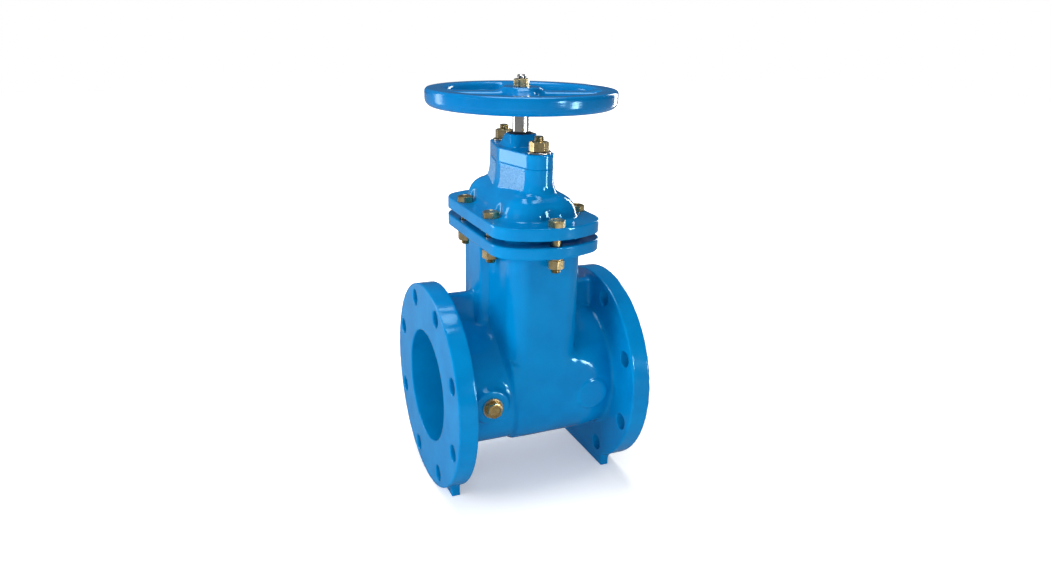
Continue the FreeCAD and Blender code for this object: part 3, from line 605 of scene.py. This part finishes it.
def cast_handwheel():
    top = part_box("handwheel")[1].z
    piece = remeshed("handwheel", 1.5 * MM)
    skin = Skin(piece.data)
    x, y, z = skin.place.T
    weight = np.ones(len(skin.place))
    weight[(np.hypot(x, y) < 13 * MM) | (z > top - 0.5 * MM)] = 0
    skin.fill_corners(weight, passes(130))
    skin.smooth(weight * 0.7, 5)
    finish_skin(piece, skin, "handwheel")


# Turned and hexagonal pieces ------------------------------------------------------------------

TURN_SIDES = 48
FLAT_POINTS = 6
CORNER_POINTS = 3
CORNER_ROUND = 0.5 * MM
CHAMFER = math.tan(math.radians(28))
CHAMFER_START = 0.96
THREAD_RINGS = 6
THREAD_DEPTH = 0.55
ROOT = 0.84
TIP = 1 * MM
EDGE = 0.5 * MM


def circle(radius, count=TURN_SIDES):
    return [Vector((radius * math.cos(turn), radius * math.sin(turn)))
            for turn in (math.tau * k / count for k in range(count))]


def hexagon(flats, corner, turn):
    """Outline of a hexagon with slightly rounded corners."""
    apothem = flats / 2 - corner
    arm = apothem / math.cos(math.pi / 6)
    outline = []
    for side in range(6):
        at = turn + math.pi / 3 * side
        centre = Vector((math.cos(at), math.sin(at))) * arm
        arc = [at + math.pi / 6 * (2 * k / (CORNER_POINTS - 1) - 1) for k in range(CORNER_POINTS)]
        outline += [centre + Vector((math.cos(a), math.sin(a))) * corner for a in arc]
        after = at + math.pi / 3
        following = Vector((math.cos(after), math.sin(after))) * arm
        end = following + Vector((math.cos(arc[-1]), math.sin(arc[-1]))) * corner
        start = outline[-1].copy()
        outline += [start.lerp(end, k / FLAT_POINTS) for k in range(1, FLAT_POINTS)]
    return outline


class Stack:
    """Closed solids made of rings one above another, each ring a list of points."""

    SHARP = math.radians(35)

    def __init__(self, frame_of_piece=Matrix()):
        self.work = bmesh.new()
        self.frame = frame_of_piece

    def ring(self, points):
        return [self.work.verts.new(self.frame @ Vector(point)) for point in points]

    def skin(self, rings, closed_loop=False):
        """Faces between the rings; the two ends are capped, or joined to each other."""
        made = [self.ring(points) for points in rings]
        pairs = list(zip(made, made[1:]))
        if closed_loop:
            pairs.append((made[-1], made[0]))
        for lower, upper in pairs:
            count = len(lower)
            for k in range(count):
                after = (k + 1) % count
                self.work.faces.new((lower[k], lower[after], upper[after], upper[k]))
        if not closed_loop:
            self.cap(made[0], True)
            self.cap(made[-1], False)

    def cap(self, ring, below):
        middle = self.work.verts.new(sum((vert.co for vert in ring), Vector()) / len(ring))
        for k, vert in enumerate(ring):
            after = ring[(k + 1) % len(ring)]
            self.work.faces.new((after, vert, middle) if below else (vert, after, middle))

    def show(self, name, node):
        """The finished solids as one piece, in a CAD node's place."""
        bmesh.ops.recalc_face_normals(self.work, faces=self.work.faces)
        for face in self.work.faces:
            face.smooth = True
        for edge in self.work.edges:
            edge.smooth = len(edge.link_faces) == 2 and edge.calc_face_angle() < self.SHARP
        mesh = bpy.data.meshes.new(name)
        self.work.to_mesh(mesh)
        self.work.free()
        stand_in(link(name, mesh), node)


def level(outline, z):
    return [(point.x, point.y, z) for point in outline]


def scaled(outline, radius, z):
    """The outline's directions at one radius."""
    return [(*(point.normalized() * radius), z) for point in outline]


def chamfered(outline, inner, z, facing):
    """An end edge turned down to a cone outside the inner radius, facing up (1) or down (-1)."""
    return [(point.x, point.y, z - facing * CHAMFER * max(point.length - inner, 0))
            for point in outline]


def hexagon_rings(flats, bottom, top, turn, chamfer_bottom):
    """Rings up the outside of a hexagon with its end corners turned off."""
    outline = hexagon(flats, CORNER_ROUND, turn)
    inner = flats / 2 * CHAMFER_START
    foot = chamfered(outline, inner, bottom, -1) if chamfer_bottom else level(outline, bottom)
    return outline, [scaled(outline, inner, bottom), foot, chamfered(outline, inner, top, 1),
                     scaled(outline, inner, top)]


def thread_rings(outline, major, depth, pitch, bottom, top):
    """Rings of a helical thread, a fixed number to each turn."""
    count = max(2, round((top - bottom) / pitch * THREAD_RINGS))
    rings = []
    for k in range(count + 1):
        z = bottom + (top - bottom) * k / count
        ring = []
        for point in outline:
            phase = (z / pitch - math.atan2(point.y, point.x) / math.tau) % 1
            groove = abs(2 * phase - 1)
            edge = point.normalized() * (major - depth * groove)
            ring.append((edge.x, edge.y, z))
        rings.append(ring)
    return rings


def add_nut(stack, flats, bore, bottom, top, turn):
    outline, outside = hexagon_rings(flats, bottom, top, turn, True)
    rings = ([scaled(outline, bore, bottom + EDGE), scaled(outline, bore + EDGE, bottom)]
             + outside
             + [scaled(outline, bore + EDGE, top), scaled(outline, bore, top - EDGE)])
    stack.skin(rings, closed_loop=True)


def add_stud(stack, radius, pitch, bottom, thread_bottom, top):
    """Rod with a chamfered tip at the top and its thread running down from there."""
    outline = circle(radius)
    stack.skin([scaled(outline, radius * 0.85, bottom), level(outline, bottom + TIP)]
               + thread_rings(outline, radius, THREAD_DEPTH * pitch, pitch, thread_bottom,
                              top - TIP)
               + [scaled(outline, radius * ROOT, top)])


def add_ring(stack, outline, profile):
    """A profile of radii and heights turned round the axis."""
    stack.skin([level([point * radius for point in outline], z) for radius, z in profile],
               closed_loop=True)


def add_washer(stack, inner, outer, bottom, top):
    edge = min(EDGE, (top - bottom) / 3)
    add_ring(stack, circle(1.0), [
        (inner, bottom), (outer - edge, bottom), (outer, bottom + edge), (outer, top - edge),
        (outer - edge, top), (inner + edge, top), (inner, top - edge)])


BOLT_RADIUS = 6.35 * MM
BOLT_PITCH = 1.95 * MM
BOLT_FLATS = 19.0 * MM
HEAD_DISH = (0.78, 0.35 * MM)
BOLT_TURNS = (0.18, 0.55, 0.02, 0.36, 0.72, 0.9)
NUT_FLATS = 19.0 * MM
NUT_WASHER = 2.2 * MM
NUT_WASHER_RADIUS = 9.3 * MM
THREAD_LENGTH = 30 * MM


def make_cover_bolts():
    low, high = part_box("bonnet_bolts")
    nut_low, nut_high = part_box("bonnet_nuts")
    seat, washer_low = high.z - BOLT_HEAD, nut_high.z - NUT_WASHER
    dish, dish_depth = BOLT_FLATS / 2 * HEAD_DISH[0], HEAD_DISH[1]
    bolts, nuts = Stack(), Stack()
    for index, (x, y) in enumerate(COVER_BOLTS):
        bolts.frame = nuts.frame = Matrix.Translation((x, y, 0))
        turn = BOLT_TURNS[index] * math.pi / 3
        outline, outside = hexagon_rings(BOLT_FLATS, seat, high.z, turn, False)
        bolts.skin([scaled(outline, BOLT_RADIUS * ROOT, low.z)]
                   + thread_rings(outline, BOLT_RADIUS, THREAD_DEPTH * BOLT_PITCH, BOLT_PITCH,
                                  low.z + TIP, low.z + THREAD_LENGTH)
                   + [scaled(outline, BOLT_RADIUS, seat)] + outside[1:]
                   + [scaled(outline, dish, high.z),
                      scaled(outline, dish * 0.95, high.z - dish_depth)])
        add_nut(nuts, NUT_FLATS, BOLT_RADIUS, nut_low.z, washer_low, turn + 0.4)
        add_washer(nuts, BOLT_RADIUS, NUT_WASHER_RADIUS, washer_low, nut_high.z)
    bolts.show("bonnet_bolts_detailed", "bonnet_bolts")
    nuts.show("bonnet_nuts_detailed", "bonnet_nuts")


GLAND_NUT_FLATS = 21.8 * MM
GLAND_NUT_TURNS = (0.35, 0.62)
GLAND_THREAD = 45 * MM


def make_gland_fasteners():
    stud_low, stud_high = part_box("gland_studs")
    nut_low, nut_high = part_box("gland_nuts")
    washer_low, washer_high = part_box("gland_washers")
    studs, nuts, washers = Stack(), Stack(), Stack()
    for (x, y), turn in zip(GLAND_STUDS, GLAND_NUT_TURNS):
        studs.frame = nuts.frame = washers.frame = Matrix.Translation((x, y, 0))
        add_stud(studs, BOLT_RADIUS, BOLT_PITCH, stud_low.z, stud_high.z - GLAND_THREAD,
                 stud_high.z)
        add_nut(nuts, GLAND_NUT_FLATS, BOLT_RADIUS, nut_low.z, nut_high.z, turn * math.pi / 3)
        add_washer(washers, BOLT_RADIUS, washer_high.x, washer_low.z, washer_high.z)
    studs.show("gland_studs_threaded", "gland_studs")
    nuts.show("gland_nuts_chamfered", "gland_nuts")
    washers.show("gland_washers_bevelled", "gland_washers")


PLUG_FLATS = 18.8 * MM
PLUG_COLLAR = 12.0 * MM
PLUG_COLLAR_HEIGHT = 1.6 * MM
PLUG_PITCH = 2.0 * MM
PLUG_WALL = 3.8 * MM
PLUG_NECK = 3 * MM
PLUG_DISH = (0.72, 0.8 * MM)
PLUG_TURN = 0.3


def make_drain_plug():
    """Hexagon plug with a turned collar, screwed in along Y, on its own soft washer."""
    low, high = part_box("drain_plug")
    washer_low, washer_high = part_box("drain_plug_washer")
    middle = (washer_low + washer_high) / 2
    facing = Matrix.Translation((middle.x, 0, middle.z)) @ Matrix.Rotation(math.pi / 2, 4, "X")
    seat, face, tip = -washer_low.y, -low.y, -high.y
    washer_radius = (washer_high.x - washer_low.x) / 2
    radius = washer_radius - PLUG_WALL
    collar_top = seat + PLUG_COLLAR_HEIGHT
    outline, outside = hexagon_rings(PLUG_FLATS, collar_top, face, PLUG_TURN, False)
    dish, dish_depth = PLUG_FLATS / 2 * PLUG_DISH[0], PLUG_DISH[1]
    plug = Stack(facing)
    plug.skin([scaled(outline, radius * 0.9, tip)]
              + thread_rings(outline, radius, 0.5 * PLUG_PITCH, PLUG_PITCH, tip + TIP,
                             seat - PLUG_NECK)
              + [scaled(outline, radius * 0.9, seat), scaled(outline, PLUG_COLLAR, seat),
                 scaled(outline, PLUG_COLLAR, seat + PLUG_COLLAR_HEIGHT * 0.7),
                 scaled(outline, PLUG_COLLAR - EDGE, collar_top)]
              + outside[1:]
              + [scaled(outline, dish, face), scaled(outline, dish * 0.9, face - dish_depth)])
    plug.show("drain_plug_turned", "drain_plug")
    washer = Stack(facing)
    add_washer(washer, radius, washer_radius, -washer_high.y, seat)
    washer.show("drain_plug_washer_round", "drain_plug_washer")


# Stem -----------------------------------------------------------------------------------------

SQUARE = 16.0 * MM
SQUARE_CORNER = 1.2 * MM
STEM_SIDES = 96
STEM_RADIUS = 11.0 * MM
STEM_TURN = math.radians(-15)
STEM_STUD = 6.0 * MM
STUD_PITCH = 1.75 * MM
STEM_LEAD = 8.0 * MM
STEM_THREAD_DEPTH = 3.4 * MM
STEM_THREAD_RINGS = 12
STEM_RUN_OUT = 3 * MM
STEM_THREAD_TOP = AXIS_HEIGHT + 262 * MM
COLLAR = (AXIS_HEIGHT + 291 * MM, AXIS_HEIGHT + 303 * MM, 20 * MM)
SQUARE_BOTTOM = AXIS_HEIGHT + 372 * MM
SQUARE_TOP = AXIS_HEIGHT + 390.5 * MM
SQUARE_EDGE = 0.6 * MM
WHEEL_NUT_FLATS = 18 * MM
WIPER_PLAY = 0.05 * MM


def square(side, corner, outline):
    """A square with cut corners, sampled in the outline's directions."""
    ring = []
    for point in outline:
        way = point.normalized()
        reach = side / 2 / max(abs(way.x), abs(way.y))
        ring.append(way * min(reach, side / 2 * math.sqrt(2) - corner))
    return ring


def trapezoid(phase):
    """Depth of a trapezoidal thread, 0 on the crest and 1 in the root."""
    return min(max(abs(4 * phase - 2) - 0.6, 0) / 0.8, 1)


def make_stem():
    low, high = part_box("stem")
    outline = circle(STEM_RADIUS, STEM_SIDES)
    count = round((STEM_THREAD_TOP - low.z) / STEM_LEAD * STEM_THREAD_RINGS)
    rings = [scaled(outline, STEM_RADIUS * 0.7, low.z)]
    for k in range(1, count + 1):
        z = low.z + (STEM_THREAD_TOP - low.z) * k / count
        ring = []
        for point in outline:
            phase = (z / STEM_LEAD + math.atan2(point.y, point.x) / math.tau) % 1
            edge = point * (1 - STEM_THREAD_DEPTH / STEM_RADIUS * trapezoid(phase))
            ring.append((edge.x, edge.y, z))
        rings.append(ring)
    collar_low, collar_high, collar = COLLAR
    shank = square(SQUARE, SQUARE_CORNER, outline)
    rings += [level(outline, STEM_THREAD_TOP + STEM_RUN_OUT), level(outline, collar_low),
              scaled(outline, collar, collar_low), scaled(outline, collar, collar_high),
              level(outline, collar_high), level(outline, SQUARE_BOTTOM - SQUARE_EDGE),
              scaled(outline, STEM_RADIUS * 0.95, SQUARE_BOTTOM), level(shank, SQUARE_BOTTOM),
              level(shank, SQUARE_TOP - TIP), level([point * 0.9 for point in shank], SQUARE_TOP)]
    rings += thread_rings(outline, STEM_STUD, THREAD_DEPTH * STUD_PITCH, STUD_PITCH, SQUARE_TOP,
                          high.z - TIP)
    rings.append(scaled(outline, STEM_STUD * 0.82, high.z))
    stem = Stack(Matrix.Rotation(STEM_TURN, 4, "Z"))
    stem.skin(rings)
    stem.show("stem_threaded", "stem")
    nut_low, nut_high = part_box("handwheel_nut")
    nut = Stack()
    add_nut(nut, WHEEL_NUT_FLATS, STEM_STUD, nut_low.z, nut_high.z, STEM_TURN + 0.1)
    nut.show("handwheel_nut_chamfered", "handwheel_nut")


def make_wiper():
    """Rubber scraper ring with two lips round the stem."""
    low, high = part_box("stem_wiper")
    outer, inner = high.x, STEM_RADIUS + WIPER_PLAY
    rise = high.z - low.z
    profile = [(inner + 1.2 * MM, low.z), (outer, low.z), (outer, low.z + rise * 0.62),
               (outer - 0.9 * MM, low.z + rise * 0.75), (inner + 1.9 * MM, low.z + rise * 0.78),
               (inner + 1.2 * MM, high.z), (inner, high.z), (inner, low.z + rise * 0.7),
               (inner + 1.2 * MM, low.z + rise * 0.4)]
    ring = Stack()
    add_ring(ring, circle(1.0, 72), profile)
    ring.show("stem_wiper_lipped", "stem_wiper")


# Camera, floor and light ----------------------------------------------------------------------

CAMERA_PLACE = (-0.4168, -0.9896, 0.6224)
CAMERA_HEADING = math.radians(-23.385)
CAMERA_DIP = math.radians(19.62)
CAMERA_ROLL = math.radians(1.106)


def add_camera():
    data = bpy.data.cameras.new("camera")
    data.sensor_width = 36
    data.lens = 28.28
    data.shift_y = 0.0188
    camera = link("camera", data)
    turn = (Matrix.Rotation(CAMERA_HEADING, 4, "Z")
            @ Matrix.Rotation(math.pi / 2 - CAMERA_DIP, 4, "X")
            @ Matrix.Rotation(CAMERA_ROLL, 4, "Z"))
    camera.matrix_world = Matrix.Translation(CAMERA_PLACE) @ turn
    bpy.context.scene.camera = camera


FLOOR_IN_GLOSS = 0.12
FLOOR_LIFT = 0.3
FLOOR_TO_VALVE = 0.2
FLOOR_FADE = (0.35, 1.1)
FLOOR_HALF = 6.0


def add_floor():
    """Matt white floor that glows white away from the valve and hardly shows in its gloss."""
    half = FLOOR_HALF
    mesh = bpy.data.meshes.new("floor")
    mesh.from_pydata([(-half, -half, 0), (half, -half, 0), (half, half, 0), (-half, half, 0)],
                     [], [(0, 1, 2, 3)])
    shader = Shader("floor_white", Roughness=0.8, Emission_Color=(1, 1, 1, 1))
    white = shader.mix(shader.noise(0.6, 2), (0.93, 0.93, 0.93), (0.96, 0.96, 0.96))
    ray = shader.nodes.new("ShaderNodeLightPath").outputs
    shader.colour(shader.mix(ray["Is Glossy Ray"], white, (FLOOR_IN_GLOSS,) * 3))
    away = shader.nodes.new("ShaderNodeVectorMath")
    away.operation = "LENGTH"
    shader.join(shader.place, away.inputs[0])
    far = shader.spread(away.outputs["Value"], *FLOOR_FADE)
    glow = shader.nodes.new("ShaderNodeMath")
    glow.operation = "MULTIPLY"
    shader.join(shader.spread(far, 0, 1, FLOOR_LIFT, 1), glow.inputs[0])
    shader.join(shader.spread(ray["Is Camera Ray"], 0, 1, FLOOR_TO_VALVE, 1), glow.inputs[1])
    shader.join(glow.outputs[0], shader.surface.inputs["Emission Strength"])
    mesh.materials.append(shader.material)
    link("floor", mesh)


def add_area(name, place, target, size, energy, diffuse=True, glossy=True):
    data = bpy.data.lights.new(name, "AREA")
    data.shape = "RECTANGLE"
    data.size, data.size_y = size
    data.energy = energy
    light = link(name, data)
    light.location = place
    light.visible_diffuse = diffuse
    light.visible_glossy = glossy
    light.rotation_euler = (Vector(target) - Vector(place)).to_track_quat("-Z", "Y").to_euler()


LIT_SIDE = Vector((-0.80, 0.25, 0.55)).normalized()
ROOM_DIM, ROOM_BRIGHT = 0.16, 0.85
ROOM_IN_GLOSS = 0.12


def add_world():
    """White to the eye; to the valve a room that is bright behind its left and dim in front."""
    world = bpy.data.worlds.new("studio")
    world.use_nodes = True
    tree = world.node_tree

    def node(kind, operation=None, **settings):
        made = tree.nodes.new(kind)
        if operation:
            made.operation = operation
        for socket, value in settings.items():
            made.inputs[socket.replace("_", " ")].default_value = value
        return made

    ray = node("ShaderNodeLightPath").outputs
    lean = node("ShaderNodeVectorMath", "DOT_PRODUCT")
    lean.inputs[1].default_value = LIT_SIDE
    strength = node("ShaderNodeMapRange", From_Min=-0.9, From_Max=0.9, To_Min=ROOM_DIM,
                    To_Max=ROOM_BRIGHT)
    gloss = node("ShaderNodeMapRange", To_Min=1.0, To_Max=ROOM_IN_GLOSS)
    dimmed = node("ShaderNodeMath", "MULTIPLY")
    room = tree.nodes["Background"]
    room.inputs["Color"].default_value = (1, 1, 1, 1)
    seen = node("ShaderNodeBackground", Color=(1, 1, 1, 1))
    choose = node("ShaderNodeMixShader")
    for source, target in (
            (node("ShaderNodeTexCoord").outputs["Generated"], lean.inputs[0]),
            (lean.outputs["Value"], strength.inputs["Value"]),
            (ray["Is Glossy Ray"], gloss.inputs["Value"]),
            (strength.outputs["Result"], dimmed.inputs[0]),
            (gloss.outputs["Result"], dimmed.inputs[1]),
            (dimmed.outputs[0], room.inputs["Strength"]),
            (ray["Is Camera Ray"], choose.inputs[0]),
            (room.outputs[0], choose.inputs[1]),
            (seen.outputs[0], choose.inputs[2]),
            (choose.outputs[0], tree.nodes["World Output"].inputs["Surface"])):
        tree.links.new(source, target)
    bpy.context.scene.world = world
    bpy.context.scene.view_settings.view_transform = "Standard"


def add_light():
    add_area("key_left", (-1.9, -0.35, 0.95), (0, 0, 0.2), (0.9, 0.9), 25, glossy=False)
    add_area("low_front", (-0.4, -1.1, 0.14), (0, 0, 0.1), (0.8, 0.25), 2.6, glossy=False)
    add_area("top", (0.1, 0.2, 1.9), (0, 0, 0.3), (1.0, 1.0), 19)
    add_area("strip_back_left", (-1.35, 1.2, 0.35), (0, 0, 0.3), (0.42, 1.3), 9, diffuse=False)
    add_area("spark_front_right", (0.70, -1.65, 0.55), (0, 0, 0.2), (0.2, 0.3), 7,
             diffuse=False)
    add_area("spark_right", (1.10, -1.30, 0.25), (0, 0, 0.2), (0.25, 0.35), 9, diffuse=False)
    add_area("strip_back_right", (1.5, 0.9, 0.6), (0, 0, 0.3), (0.3, 1.4), 14, diffuse=False)
    add_world()


paint_nodes()
cast_body()
cast_bonnet()
cast_gland_housing()
cast_handwheel()
make_cover_bolts()
make_gland_fasteners()
make_drain_plug()
make_stem()
make_wiper()
add_camera()
add_floor()
add_light()
